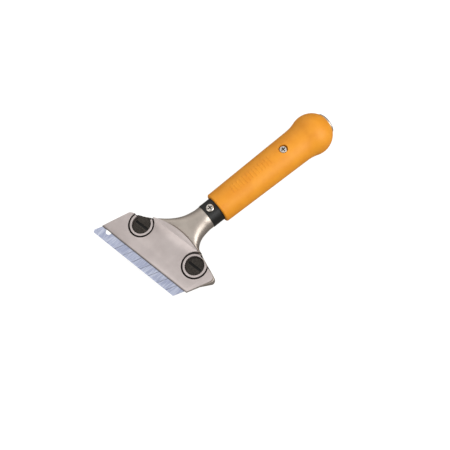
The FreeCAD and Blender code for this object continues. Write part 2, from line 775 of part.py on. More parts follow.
def grip_radius_at_screw():
    """The grip's taper, read where its screw stands."""
    front = "grip_front_diameter / 2"
    return front + " + (grip_rear_diameter - grip_front_diameter) / 2 * %s / %s" % (GRIP_SCREW_REACH, BALL_REACH)


def grip():
    """Tapered round handle that swells into a ball, bored for the tube and for the strike cap."""
    front = "grip_front_diameter / 2"
    rear = "grip_rear_diameter / 2"
    ball = "ball_diameter / 2"
    flare = "grip_flare_radius"
    rise = "sqrt((%s + %s) ^ 2 - (%s + %s) ^ 2)" % (ball, flare, rear, flare)
    seat = "cap_diameter / 2 + cap_fit"
    bore = "tube_diameter / 2 + grip_fit"
    bore_end = "tube_length - collar_length + tube_end_gap"
    stem = "stem_diameter / 2 + stem_fit"
    corners = [
        (bore, "0"),
        (front + " - grip_edge_round", "0"),
        (front, "grip_edge_round"),
        (rear, BALL_REACH + " - " + rise),
        ("%s * (%s + %s) / (%s + %s)" % (ball, rear, flare, ball, flare),
         BALL_REACH + " - %s * %s / (%s + %s)" % (ball, rise, ball, flare)),
        (ball, BALL_REACH),
        (seat, BALL_REACH + " + sqrt((%s) ^ 2 - (%s) ^ 2)" % (ball, seat)),
        (seat, CAP_SEAT),
        (stem, CAP_SEAT),
        (stem, bore_end),
        (bore, bore_end),
    ]
    arcs = {1: ("grip_edge_round", 1), 3: (flare, -1), 4: (ball, 1), 5: (ball, 1)}
    body = turned_body("grip", "XY_Plane", corners, arcs)
    seat_height = grip_radius_at_screw() + " - grip_screw_sink - small_head_height"
    recess = "small_head_diameter + 2 * grip_recess_clearance"
    round_hole(body, "grip_screw_recess", GRIP_SCREW_REACH, recess, seat_height, ball)
    clear = "small_thread + 2 * small_hole_clearance"
    round_hole(body, "grip_screw_hole", GRIP_SCREW_REACH, clear, "0", ball)
    place(body, y=GRIP_FRONT, z="handle_height")
    return body


def grip_screw():
    body = small_screw("grip_screw", "grip_screw_length")
    place(body, y=GRIP_FRONT + " + " + GRIP_SCREW_REACH,
          z="handle_height + " + grip_radius_at_screw() + " - grip_screw_sink - small_head_height")
    return body


def end_plug():
    """Plastic plug in the tube's far end, bored for the cap's stem and the grip screw."""
    stem = "stem_diameter / 2"
    outer = TUBE_INNER + " - tube_fit"
    corners = [
        ("0", "-plug_length"),
        (outer, "-plug_length"),
        (outer, "0"),
        (stem, "0"),
        (stem, "-stem_depth - stem_end_gap"),
        ("0", "-stem_depth - stem_end_gap"),
    ]
    body = turned_body("end_plug", "XY_Plane", corners)
    from_end = "-grip_screw_inset"
    depth = grip_radius_at_screw() + " - grip_screw_sink - small_head_height - grip_screw_length - screw_hole_gap"
    round_hole(body, "plug_screw_hole", from_end, "small_thread", depth, "tube_diameter / 2")
    place(body, y=TUBE_END, z="handle_height")
    return body


def strike_cap():
    """Domed steel cap whose stem is pressed into the end plug."""
    stem = "stem_diameter / 2"
    rim = "cap_diameter / 2"
    stem_start = "tube_length - collar_length - stem_depth - (%s)" % CAP_SEAT
    corners = [
        ("0", stem_start),
        (stem, stem_start),
        (stem, "0"),
        (rim, "0"),
        (rim, "cap_height"),
        ("cap_flat / 2", "cap_height + cap_crown"),
        ("0", "cap_height + cap_crown"),
    ]
    crown = "(cap_diameter - cap_flat) / 2"
    radius = "sqrt((%s) ^ 2 + cap_crown ^ 2) * cap_roundness" % crown
    body = turned_body("strike_cap", "XY_Plane", corners, {4: (radius, 1)})
    place(body, y="%s + %s" % (GRIP_FRONT, CAP_SEAT), z="handle_height")
    return body


def write_parts(pieces):
    """Check the whole document, then write one file for each piece."""
    doc.recompute()
    for thing in doc.Objects:
        if "Invalid" in thing.State or "Error" in thing.State:
            raise RuntimeError("%s didn't recompute: %s" % (thing.Name, thing.State))
    for piece in pieces:
        shape = piece.Shape
        if shape.isNull() or not shape.isValid():
            raise RuntimeError("%s has no valid shape" % piece.Label)
    os.makedirs("parts", exist_ok=True)
    for piece in pieces:
        piece.Shape.exportStep("parts/%s.step" % piece.Label)
        box = piece.Shape.BoundBox
        print("%-22s %9.1f mm3  %d solid  x %.1f..%.1f  y %.1f..%.1f  z %.1f..%.1f" % (
            piece.Label, piece.Shape.Volume, len(piece.Shape.Solids),
            box.XMin, box.XMax, box.YMin, box.YMax, box.ZMin, box.ZMax))


pieces = [head_casting(), clamp_plate(), blade()]
pieces += screw_set("left", -1) + screw_set("right", 1)
pieces += [shaft_tube(), neck_screw(), end_plug(), grip(), grip_screw(), strike_cap()]
write_parts(pieces)
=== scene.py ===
# %% [markdown]
# # A hand floor scraper
# The CAD model gives every piece of this scraper its true size and place. This lesson gives the
# pieces their looks: a satin die-cast head, a ground steel blade, two black coin screws, a black
# tube, a moulded orange grip and a turned steel cap. It starts by loading the model as a fixed
# frame, in metres, and keeping the box it fills.

# %% Load the frame
import json
import math

import bpy
from mathutils import Matrix, Vector


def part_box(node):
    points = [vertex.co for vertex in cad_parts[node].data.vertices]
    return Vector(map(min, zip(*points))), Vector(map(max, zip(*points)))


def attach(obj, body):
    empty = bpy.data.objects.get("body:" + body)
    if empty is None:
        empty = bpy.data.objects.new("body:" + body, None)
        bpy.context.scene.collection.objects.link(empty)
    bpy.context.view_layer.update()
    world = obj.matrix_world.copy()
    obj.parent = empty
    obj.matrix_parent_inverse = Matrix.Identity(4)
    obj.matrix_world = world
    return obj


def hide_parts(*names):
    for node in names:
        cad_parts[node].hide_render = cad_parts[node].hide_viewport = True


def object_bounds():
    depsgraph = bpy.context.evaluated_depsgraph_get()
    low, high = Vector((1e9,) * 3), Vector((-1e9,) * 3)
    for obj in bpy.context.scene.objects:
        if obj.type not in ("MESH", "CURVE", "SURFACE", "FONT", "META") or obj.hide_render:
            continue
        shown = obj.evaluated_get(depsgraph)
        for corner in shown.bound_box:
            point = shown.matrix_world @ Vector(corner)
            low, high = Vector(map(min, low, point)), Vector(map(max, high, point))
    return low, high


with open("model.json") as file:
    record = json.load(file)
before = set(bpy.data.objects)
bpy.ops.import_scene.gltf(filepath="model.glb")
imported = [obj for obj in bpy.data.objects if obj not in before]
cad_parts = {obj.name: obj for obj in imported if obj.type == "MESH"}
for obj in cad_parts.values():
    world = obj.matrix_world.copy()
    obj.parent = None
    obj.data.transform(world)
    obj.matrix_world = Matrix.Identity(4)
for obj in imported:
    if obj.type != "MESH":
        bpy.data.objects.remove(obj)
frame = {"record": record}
CAD_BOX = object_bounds()
BEHAVIOUR = frame["record"]["behaviour"]
MM = 0.001
print("CAD box in mm:", [[round(v / MM, 1) for v in corner] for corner in CAD_BOX])

# %% [markdown]
# The head is turned 12 degrees from the handle, as the record's joints say: the blade slides out
# along the head's own front direction. Reading it from the frame keeps the two in step.

# %% The head's own directions
X_AXIS, Y_AXIS, Z_AXIS = (1, 0, 0), (0, 1, 0), (0, 0, 1)
SLIDE = next(joint for joint in BEHAVIOUR["joints"] if joint["name"] == "blade_slide")
HEAD_REAR = -Vector(SLIDE["axis"]).normalized()
HEAD_RIGHT = HEAD_REAR.cross(Vector(Z_AXIS))
SKEW = math.atan2(HEAD_RIGHT.y, HEAD_RIGHT.x)
print("head skew in degrees:", round(math.degrees(SKEW), 2))

# %% [markdown]
# ## Camera
# The scraper is seen nearly straight down on its screw side, from its right and a little from its
# front, with the handle rising to the right. The camera stands 650 mm away with a 57 mm lens. Its
# turn is built from three directions, so that the handle's slope in the picture is set by one angle.

# %% Camera
SIGHT = Vector((0.324, -0.135, 0.937)).normalized()
HANDLE_TILT = math.radians(38.3)
DISTANCE = 650 * MM
COLLAR = Vector((0, 0.044, 0.006))
AIM_RIGHT = 16.8 * MM
AIM_DOWN = 7.5 * MM

along = (Vector(Y_AXIS) - SIGHT * SIGHT.y).normalized()
across = along.cross(SIGHT)
right = along * math.cos(HANDLE_TILT) + across * math.sin(HANDLE_TILT)
up = along * math.sin(HANDLE_TILT) - across * math.cos(HANDLE_TILT)
aim = COLLAR + right * AIM_RIGHT - up * AIM_DOWN

camera = bpy.data.objects.new("camera", bpy.data.cameras.new("camera"))
bpy.context.collection.objects.link(camera)
camera.data.lens = 57.0
camera.data.sensor_width = 36.0
turned = Matrix((right, up, SIGHT)).transposed().to_4x4()
camera.matrix_world = Matrix.Translation(aim + SIGHT * DISTANCE) @ turned
bpy.context.scene.camera = camera
bpy.context.scene.view_settings.view_transform = "Standard"
print("camera at", [round(v, 3) for v in camera.matrix_world.translation])

# %% [markdown]
# ## Helpers for materials
# Every finish is a small tree of nodes around one shader. A colour is written as the hex value a
# painter would pick, and turned to the linear values the shader needs. One helper adds a node with
# its settings and its links, so that each finish reads as a list of steps.


# %% Colour, node and material helpers
def linear(hex_colour):
    """An sRGB hex colour as linear red, green, blue and alpha."""
    values = [int(hex_colour[i:i + 2], 16) / 255 for i in (0, 2, 4)]
    return tuple(v / 12.92 if v <= 0.04045 else ((v + 0.055) / 1.055) ** 2.4 for v in values) + (1.0,)


def add_node(tree, kind, sockets=None, give=None, **settings):
    """Add a node with its settings; each socket gets a value, or a link from another node's output.

    The node comes back, or its output named give.
    """
    node = tree.nodes.new("ShaderNode" + kind)
    for name, setting in settings.items():
        setattr(node, name, setting)
    for socket, source in (sockets or {}).items():
        if isinstance(source, bpy.types.NodeSocket):
            tree.links.new(source, node.inputs[socket])
        else:
            node.inputs[socket].default_value = source
    return node if give is None else node.outputs[give]


def new_finish(name, **settings):
    """A material with one shader, and the object's own coordinates to draw its pattern on."""
    material = bpy.data.materials.new(name)
    material.use_nodes = True
    tree = material.node_tree
    shader = tree.nodes["Principled BSDF"]
    for key, setting in settings.items():
        shader.inputs[key.replace("_", " ")].default_value = setting
    place = add_node(tree, "TexCoord", give="Object")
    return material, tree, shader, place


print("a painter's mid grey in linear light:", round(linear("808080")[0], 3))

# %% [markdown]
# ## Floor and light
# A plain white sweep lies just under the scraper. The eye sees it evenly lit, but the metal mirrors
# a darker version of it, as it would mirror a real studio's dim walls: that is what gives the
# castings their dark sides. A brighter paper would be simpler, and would wash the metal out.

# %% Floor
FLOOR_GAP = 0.5 * MM
FLOOR_WIDTH = 6.0
FLOOR_MIDDLE = 0.05
SWEEP_GLOW = 0.86
FIRST, SECOND = 0, 1  # the two sockets of a Math node, which share one name

bpy.ops.object.select_all(action="DESELECT")
bpy.ops.mesh.primitive_plane_add(size=FLOOR_WIDTH, location=(0, FLOOR_MIDDLE, CAD_BOX[0][2] - FLOOR_GAP))
floor = bpy.context.object
floor.name = "floor"
white_sweep, tree, shader, place = new_finish(
    "white_paper_sweep", Roughness=0.95, Base_Color=linear("8C8A88"), Emission_Color=linear("FFFFFF"),
    Specular_IOR_Level=0.0)
seen = add_node(tree, "LightPath", give="Is Camera Ray")
glow = add_node(tree, "Math", {FIRST: seen, SECOND: SWEEP_GLOW}, "Value", operation="MULTIPLY")
tree.links.new(glow, shader.inputs["Emission Strength"])
floor.data.materials.append(white_sweep)
print("floor at", round(floor.location.z / MM, 1), "mm")

# %% [markdown]
# Three soft lamps stand round the scraper. The key on the right draws the streak down the neck, a
# weak fill on the left keeps its far side from going black, and one in front lights the slope of
# the clamp plate. Large lamps are used because a small one would leave hard glints.


# %% Lamps
def area_light(name, place, size, power):
    """A square lamp at a place, turned to the scraper's middle; its power is in watts."""
    lamp = bpy.data.objects.new(name, bpy.data.lights.new(name, "AREA"))
    bpy.context.collection.objects.link(lamp)
    lamp.data.size = size
    lamp.data.energy = power
    lamp.rotation_euler = (MIDDLE - Vector(place)).to_track_quat("-Z", "Y").to_euler()
    lamp.location = place
    print(name, "lamp:", power, "W")


MIDDLE = Vector((0, 0.07, 0))
area_light("key", (0.62, 0.5, 0.5), 0.7, 7)
area_light("fill", (-0.75, 0.35, 0.5), 1.0, 2)
area_light("front", (0.0, -0.75, 0.6), 0.9, 3)

# %% [markdown]
# The sky is bright overhead and dimmer towards the horizon, so that surfaces that lean away from the
# top turn darker. The eye itself meets plain white behind the scraper.


# %% Sky
def colours_along(tree, source, *stops):
    """Colours laid along a 0 to 1 pattern, each stop a position and a hex colour."""
    node = add_node(tree, "ValToRGB", {"Fac": source})
    elements = node.color_ramp.elements
    while len(elements) < len(stops):
        elements.new(0.5)
    for element, (position, colour) in zip(elements, stops):
        element.position = position
        element.color = linear(colour)
    return node.outputs["Color"]


SKY_STRENGTH = 0.88
world = bpy.data.worlds.new("studio")
bpy.context.scene.world = world
world.use_nodes = True
sky = world.node_tree
direction = add_node(sky, "TexCoord", give="Generated")
height = add_node(sky, "SeparateXYZ", {"Vector": direction}, "Z")
dome = colours_along(sky, height, (0.0, "8E8983"), (0.45, "B7B2AC"), (0.82, "FFFFFF"))
dome_light = sky.nodes["Background"]
dome_light.inputs["Strength"].default_value = SKY_STRENGTH
sky.links.new(dome, dome_light.inputs["Color"])
backdrop = add_node(sky, "Background", {"Color": linear("FFFFFF"), "Strength": 1.0}, "Background")
seen = add_node(sky, "LightPath", give="Is Camera Ray")
DOME, BACKDROP = 1, 2  # the two shader sockets of a Mix Shader node, which share one name
dome_glow = dome_light.outputs["Background"]
either = add_node(sky, "MixShader", {"Fac": seen, DOME: dome_glow, BACKDROP: backdrop}, "Shader")
sky.links.new(either, sky.nodes["World Output"].inputs["Surface"])
print("sky strength:", SKY_STRENGTH)

# %% [markdown]
# ## The castings' soft edges
# A die casting has no sharp edge: the die and the tumbling that follows leave a radius of a few
# tenths of a millimetre, and that radius catches the light. The radius could be faked with a
# shading trick, but a real one shows from every side. So each casting is copied, the copy's loose
# triangles are merged into clean faces, and a bevel rounds every edge that is sharp enough. The
# copy then stands for the CAD piece.

# %% Soft-edged copies
MERGE_REACH = 0.002 * MM
FLAT_ENOUGH = math.radians(0.4)
SHARP_ENOUGH = math.radians(32)
SMOOTH_BELOW = math.radians(35)
ROUNDING_STEPS = 2


def body_of(node):
    """The body that a node belongs to."""
    return next(body for body, nodes in BEHAVIOUR["bodies"].items() if node in nodes)


def soft_edged(node, name, radius):
    """A copy of a CAD node with its sharp edges rounded and no finish yet, which stands for it."""
    bpy.ops.object.select_all(action="DESELECT")
    piece = bpy.data.objects.new(name, bpy.data.objects[node].data.copy())
    bpy.context.collection.objects.link(piece)
    bpy.context.view_layer.objects.active = piece
    piece.select_set(True)
    bpy.ops.object.mode_set(mode="EDIT")
    bpy.ops.mesh.select_all(action="SELECT")
    bpy.ops.mesh.remove_doubles(threshold=MERGE_REACH)
    bpy.ops.mesh.dissolve_limited(angle_limit=FLAT_ENOUGH)
    bpy.ops.object.mode_set(mode="OBJECT")
    bevel = piece.modifiers.new("rounding", "BEVEL")
    bevel.width = radius
    bevel.segments = ROUNDING_STEPS
    bevel.limit_method = "ANGLE"
    bevel.angle_limit = SHARP_ENOUGH
    bevel.use_clamp_overlap = True
    bevel.miter_outer = "MITER_ARC"
    bpy.ops.object.modifier_apply(modifier=bevel.name)
    bpy.ops.object.shade_smooth_by_angle(angle=SMOOTH_BELOW)
    piece.data.materials.clear()
    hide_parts(node)
    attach(piece, body_of(node))
    print(name, "faces:", len(piece.data.polygons))
    return piece


cover = soft_edged("clamp_plate", "soft_edged_clamp_plate", 0.35 * MM)
casting = soft_edged("head_casting", "soft_edged_head", 0.35 * MM)

# %% [markdown]
# ## Patterns of a real size
# A real surface is never even. Four helpers draw that: soft blobs of a given size, and a roughness, a
# colour and a height that follow them. Each takes its size in metres, so a finish can be
# written from what is measured on the real thing.

# %% Pattern helpers
BLOB_LOW, BLOB_HIGH = 0.3, 0.7  # noise seldom goes past these
DARK_BELOW, LIGHT_ABOVE = 0.35, 0.65


def blobs(tree, place, size, detail):
    """Soft blobs about size metres across, from 0 to 1."""
    return add_node(tree, "TexNoise", {"Vector": place, "Scale": 1.0 / size, "Detail": detail}, "Fac")


def roughness_along(tree, source, low, high):
    """A roughness from low to high, which follows a 0 to 1 pattern."""
    return add_node(tree, "MapRange", {"Value": source, "From Min": BLOB_LOW, "From Max": BLOB_HIGH,
                                       "To Min": low, "To Max": high}, "Result")


def two_tones(tree, source, dark, light):
    """A colour that wanders between two close hex colours with a pattern of blobs."""
    return colours_along(tree, source, (DARK_BELOW, dark), (LIGHT_ABOVE, light))


def raise_surface(tree, shader, height, depth, strength=0.5):
    """Bump from a 0 to 1 height, depth metres from its low to its high."""
    bump = add_node(tree, "Bump", {"Height": height, "Distance": depth, "Strength": strength}, "Normal")
    tree.links.new(bump, shader.inputs["Normal"])


print("blobs run from about", BLOB_LOW, "to", BLOB_HIGH)

# %% [markdown]
# ## Masks in the object's own space
# Painted shade is laid in set places: in a groove, along a seam, in a recess. Each such place is
# marked by a mask worked out from the object's own coordinates, which keeps it where it belongs
# when the piece moves. A painted picture would do too, but would have to be unwrapped by hand.

# %% Mask helpers
UNDER, OVER, MIXED = 6, 7, 2  # the colour sockets of a Mix node, which share their names with others
FAR_BELOW = -1.0  # a limit that nothing reaches


def between(tree, source, low, high, soft):
    """1 where source is between low and high, fading over soft at each end."""
    sides = []
    for larger, smaller in ((source, low), (high, source)):
        past = add_node(tree, "Math", {FIRST: larger, SECOND: smaller}, "Value", operation="SUBTRACT")
        slope = add_node(tree, "Math", {FIRST: past, SECOND: soft}, "Value", operation="DIVIDE")
        capped = add_node(tree, "Math", {FIRST: slope, SECOND: 1.0}, "Value", operation="SMOOTH_MIN")
        sides.append(add_node(tree, "Math", {FIRST: capped, SECOND: 0.0}, "Value", operation="MAXIMUM"))
    return add_node(tree, "Math", dict(zip((FIRST, SECOND), sides)), "Value", operation="MULTIPLY",
                    use_clamp=True)


def reach_from(tree, place, centre, axis):
    """Distance from an axis through centre."""
    moved = add_node(tree, "Mapping", {"Vector": place, "Location": -Vector(centre)}, "Vector")
    level = [0.0 if part else 1.0 for part in axis]
    flat = add_node(tree, "VectorMath", {FIRST: moved, SECOND: level}, "Vector", operation="MULTIPLY")
    return add_node(tree, "VectorMath", {FIRST: flat}, "Value", operation="LENGTH")


def lay_over(tree, mask, under, colour):
    """Lay a hex colour over the colour under, where mask is 1."""
    return add_node(tree, "Mix", {"Factor": mask, UNDER: under, OVER: linear(colour)}, MIXED,
                    data_type="RGBA")


def middle(node):
    """The middle of a node's box."""
    low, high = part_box(node)
    return (Vector(low) + Vector(high)) / 2


print("left screw's axis in mm:", [round(v / MM, 2) for v in middle("left_clamp_screw").xy])

# %% [markdown]
# ## Die-cast zinc, tumbled and satin nickel plated
# Zinc is cast, tumbled in stones and thinly plated. The eye gets a warm grey metal whose light is
# spread wide by a fine grain, with broad faint clouds where the tumbling was uneven. The grain is
# really about 0.1 mm; it is drawn at 0.5 mm so that it shows. The grooves round the two rings are
# blackened with painted shade: they are masked by their distance from each screw's axis and by
# their height. The same painted shade draws a thin dark line along the seam under the cover.

# %% Cast head and clamp plate
GRAIN = 0.5 * MM
GRAIN_DEPTH = 0.03 * MM
CLOUDS = 14 * MM
GROOVE_INNER = 10.75 * MM
GROOVE_OUTER = 12.45 * MM
GROOVE_TOP = 11.6 * MM
GROOVE_FADE = 0.12 * MM
GROOVE_TOP_FADE = 0.3 * MM
SEAM_BOTTOM = 9.2 * MM
SEAM_TOP = 9.75 * MM
SEAM_FADE = 0.2 * MM
# The near-black of the painted shade in the grooves and along the seam.
GROOVE_AND_SEAM_SHADE = "2B2723"
GROOVE_AND_SEAM_DULLING = 0.2


def cast_zinc(name, light, dark, seam_shade=0.0):
    """Cast zinc with painted shade in its grooves; seam_shade is how dark the painted shade along the seam
    is, from 0 to 1.
    """
    material, tree, shader, place = new_finish(name, Metallic=0.9)
    colour = two_tones(tree, blobs(tree, place, CLOUDS, 4.0), dark, light)
    rings = []
    for screw in ("left_clamp_screw", "right_clamp_screw"):
        reach = reach_from(tree, place, middle(screw), Z_AXIS)
        rings.append(between(tree, reach, GROOVE_INNER, GROOVE_OUTER, GROOVE_FADE))
    height = add_node(tree, "SeparateXYZ", {"Vector": place}, "Z")
    low = between(tree, height, FAR_BELOW, GROOVE_TOP, GROOVE_TOP_FADE)
    seam_band = between(tree, height, SEAM_BOTTOM, SEAM_TOP, SEAM_FADE)
    seam = add_node(tree, "Math", {FIRST: seam_band, SECOND: seam_shade}, "Value", operation="MULTIPLY")
    either_ring = add_node(tree, "Math", dict(zip((FIRST, SECOND), rings)), "Value", operation="MAXIMUM")
    grooves = add_node(tree, "Math", {FIRST: either_ring, SECOND: low}, "Value", operation="MULTIPLY")
    # Painted shade: the grooves round the rings and the seam's line are laid over in near-black.
    shaded_grooves_and_seam = add_node(tree, "Math", {FIRST: grooves, SECOND: seam}, "Value", operation="MAXIMUM")
    tree.links.new(lay_over(tree, shaded_grooves_and_seam, colour, GROOVE_AND_SEAM_SHADE), shader.inputs["Base Color"])
    grain = blobs(tree, place, GRAIN, 2.0)
    dulled = add_node(tree, "Math", {FIRST: shaded_grooves_and_seam, SECOND: GROOVE_AND_SEAM_DULLING}, "Value", operation="MULTIPLY")
    grainy = roughness_along(tree, grain, 0.36, 0.48)
    rough = add_node(tree, "Math", {FIRST: grainy, SECOND: dulled}, "Value", operation="ADD")
    tree.links.new(rough, shader.inputs["Roughness"])
    raise_surface(tree, shader, grain, GRAIN_DEPTH)
    return material


def dress(piece, material):
    """Give a modelled piece its finish."""
    piece.data.materials.append(material)
    print(piece.name, "->", material.name)


dress(cover, cast_zinc("satin_die_cast_zinc_plate", "C0B6B3", "B5ABA8", seam_shade=1.0))
# The head is the same zinc as the clamp plate, drawn in darker tones: painted shade.
dress(casting, cast_zinc("satin_die_cast_zinc_head_painted_shade", "B0A79E", "A39990"))

# %% [markdown]
# ## Ground blade steel
# A snap-off blade is hardened carbon steel, ground across its width and oiled. It gives the eye a
# cool bluish sheen with fine lines across the strip. The lines could be an image, but a noise drawn
# out along one direction never repeats. The grinding lines are really about 0.05 mm apart; they are
# drawn at 0.4 mm so that they show. A thin dark line of painted shade lies on the blade where the
# clamp plate's front edge presses on it.

# %% Blade
LINE_SPACING = 0.4 * MM
LINE_DEPTH = 0.01 * MM
LINE_STRETCH = (1.0, 0.03, 1.0)
GRIND_LEAN = math.radians(8)
TINT_SIZE = 7 * MM
TINT_STRETCH = (1.0, 0.25, 1.0)
PLATE_SHADOW_WIDTH = 0.7 * MM
PLATE_SHADOW_TUCK = 1.0 * MM
PLATE_SHADOW_FADE = 0.5 * MM


def stretched(tree, place, turn, scale):
    """Coordinates turned about Z, then stretched, to draw a pattern out along one direction."""
    return add_node(tree, "Mapping", {"Vector": place, "Rotation": (0, 0, turn), "Scale": scale}, "Vector")


def dress_node(node, material):
    """Give a CAD node its finish."""
    for slot in bpy.data.objects[node].material_slots:
        slot.link = "OBJECT"
        slot.material = material
    print(node, "->", material.name)


blade_steel, tree, shader, place = new_finish("ground_carbon_steel", Metallic=0.85)
lines = blobs(tree, stretched(tree, place, -SKEW - GRIND_LEAN, LINE_STRETCH), LINE_SPACING, 1.0)
tint = blobs(tree, stretched(tree, place, -SKEW, TINT_STRETCH), TINT_SIZE, 2.0)
colour = colours_along(tree, tint, (0.3, "B8BDD0"), (0.7, "C6CBDB"))
streak = colours_along(tree, lines, (0.4, "C6CADA"), (0.55, "FFFFFF"))
shade = add_node(tree, "Mix", {"Factor": 1.0, UNDER: colour, OVER: streak}, MIXED, data_type="RGBA",
                 blend_type="MULTIPLY")
plate_front = min(vertex.co.dot(HEAD_REAR) for vertex in bpy.data.objects["clamp_plate"].data.vertices)
rear = add_node(tree, "VectorMath", {FIRST: place, SECOND: HEAD_REAR}, "Value", operation="DOT_PRODUCT")
# Painted shade: a thin dark band on the blade along the clamp plate's front edge.
plate_shadow = between(tree, rear, plate_front - PLATE_SHADOW_WIDTH, plate_front + PLATE_SHADOW_TUCK, PLATE_SHADOW_FADE)
with_plate_shadow = lay_over(tree, plate_shadow, shade, "6A6668")
tree.links.new(roughness_along(tree, lines, 0.28, 0.42), shader.inputs["Roughness"])
raise_surface(tree, shader, lines, LINE_DEPTH)
dress_node("blade", blade_steel)

# %% [markdown]
# The blade is scored so that a worn end can be snapped off. The scores are cut in the model, and
# painted shade darkens them: the same spacing is drawn as thin dark lines, where each point's place
# along the edge, less its share of the slant, repeats every segment.

# %% Painted shade in the scores
SEGMENT = 10.4 * MM
LAST_SEGMENT = 8.8 * MM
SEGMENTS = 7
SCORE_WIDTH = 0.35 * MM
SCORE_FADE = 0.1 * MM
SCORE_SHADE = 0.65
SLANT = math.tan(math.radians(30))
EDGE_STRIP = 0.5 * MM
END_MARGIN = 1.0 * MM

corners = [vertex.co for vertex in bpy.data.objects["blade"].data.vertices]
blade_front = min(corner.dot(HEAD_REAR) for corner in corners)
edge_end = max(corner.dot(HEAD_RIGHT) for corner in corners
               if corner.dot(HEAD_REAR) < blade_front + EDGE_STRIP)
first_score = edge_end - LAST_SEGMENT - blade_front * SLANT
leftwards = add_node(tree, "VectorMath", {FIRST: place, SECOND: HEAD_REAR * SLANT - HEAD_RIGHT}, "Value",
                     operation="DOT_PRODUCT")
travel = add_node(tree, "Math", {FIRST: leftwards, SECOND: first_score}, "Value", operation="ADD")
in_segment = add_node(tree, "Math", {FIRST: travel, SECOND: SEGMENT / 2}, "Value", operation="PINGPONG")
score = between(tree, in_segment, FAR_BELOW, SCORE_WIDTH, SCORE_FADE)
scored = between(tree, travel, -END_MARGIN, SEGMENT * (SEGMENTS - 1) + END_MARGIN, SCORE_FADE)
scores = add_node(tree, "Math", {FIRST: score, SECOND: scored}, "Value", operation="MULTIPLY")
shaded = add_node(tree, "Math", {FIRST: scores, SECOND: SCORE_SHADE}, "Value", operation="MULTIPLY")
# Painted shade: the cut scores are laid over as thin dark lines.
tree.links.new(lay_over(tree, shaded, with_plate_shadow, "4A4B58"), shader.inputs["Base Color"])
print("scores:", SEGMENTS, "first at", round((edge_end - LAST_SEGMENT) / MM, 1), "mm to the right")

# %% [markdown]
# ## Turned metal
# Screws and caps are turned on a lathe, which leaves faint rings round the axis. The rings are
# drawn as a wave of the distance from that axis, so every piece gets rings about its own middle.
# Fine specks vary the colour and the shine, as handling does. Painted shade in a screw's slot or
# cross makes it read as a dark hollow.

# %% Turned metal helpers
SPECKS = 1.2 * MM
RING_STRENGTH = 0.6
RECESS_REACH = 3.0 * MM
RECESS_FADE = 0.15 * MM


def turned_metal(name, node, axis, spacing, depth, tones, metallic, roughness):
    """A lathe-turned metal for one node: rings spacing apart about its axis, tones dark and light."""
    material, tree, shader, place = new_finish(name, Metallic=metallic)
    reach = reach_from(tree, place, middle(node), axis)
    turns = add_node(tree, "Math", {FIRST: reach, SECOND: math.tau / spacing}, "Value", operation="MULTIPLY")
    wave = add_node(tree, "Math", {FIRST: turns}, "Value", operation="SINE")
    halved = add_node(tree, "Math", {FIRST: wave, SECOND: 0.5}, "Value", operation="MULTIPLY")
    rings = add_node(tree, "Math", {FIRST: halved, SECOND: 0.5}, "Value", operation="ADD")
    specks = blobs(tree, place, SPECKS, 4.0)
    tree.links.new(two_tones(tree, specks, *tones), shader.inputs["Base Color"])
    tree.links.new(roughness_along(tree, specks, *roughness), shader.inputs["Roughness"])
    raise_surface(tree, shader, rings, depth, RING_STRENGTH)
    return material


def shade_in_recess(material, node, depth, radius, colour):
    """Paint shade into the recess in a screw's head: below its top by depth, and within radius of its axis.
    """
    tree = material.node_tree
    base = tree.nodes["Principled BSDF"].inputs["Base Color"]
    place = add_node(tree, "TexCoord", give="Object")
    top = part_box(node)[1][2]
    height = add_node(tree, "SeparateXYZ", {"Vector": place}, "Z")
    deep = between(tree, height, top - RECESS_REACH, top - depth, RECESS_FADE)
    inside = between(tree, reach_from(tree, place, middle(node), Z_AXIS), FAR_BELOW, radius, RECESS_FADE)
    recess = add_node(tree, "Math", {FIRST: deep, SECOND: inside}, "Value", operation="MULTIPLY")
    tree.links.new(lay_over(tree, recess, base.links[0].from_socket, colour), base)
    return material


print("specks in mm:", round(SPECKS / MM, 2))

# %% [markdown]
# ## Blackened screws
# The coin screws are turned from steel and dipped in a black oxide bath, then oiled. They are dark
# and fairly glossy. The rings on the head are really about 0.15 mm apart; they are drawn at 0.5 mm.
# The washers, retaining rings and threaded inserts under them are zinc plated, paler and bluer.

# %% Clamp screws and what sits under them
SCREW_ROUNDING = 0.22 * MM
SLOT_DEPTH = 0.5 * MM
SLOT_REACH = 8.6 * MM
for side in ("left", "right"):
    node = side + "_clamp_screw"
    screw = soft_edged(node, side + "_coin_screw", SCREW_ROUNDING)
    blackened = turned_metal("black_oxide_steel_" + side, node, Z_AXIS, 0.5 * MM, 0.02 * MM,
                             ("241F1B", "3A352F"), 0.6, (0.2, 0.34))
    # Painted shade darkens the slot in each coin screw's head.
    dress(screw, shade_in_recess(blackened, node, SLOT_DEPTH, SLOT_REACH, "0A0908"))
    for piece in ("_screw_washer", "_retaining_ring", "_thread_insert"):
        dress_node(side + piece, turned_metal(
            "zinc_plated_steel_" + side + piece, side + piece, Z_AXIS, 0.4 * MM, 0.01 * MM,
            ("A9ACAB", "BFC1C0"), 1.0, (0.26, 0.4)))

# %% [markdown]
# ## Nickel-plated screws and the steel cap
# The two cross-head screws are bright nickel over pressed steel. The strike cap is turned from
# steel and left bare: rings run round it, and specks of wear dull it.

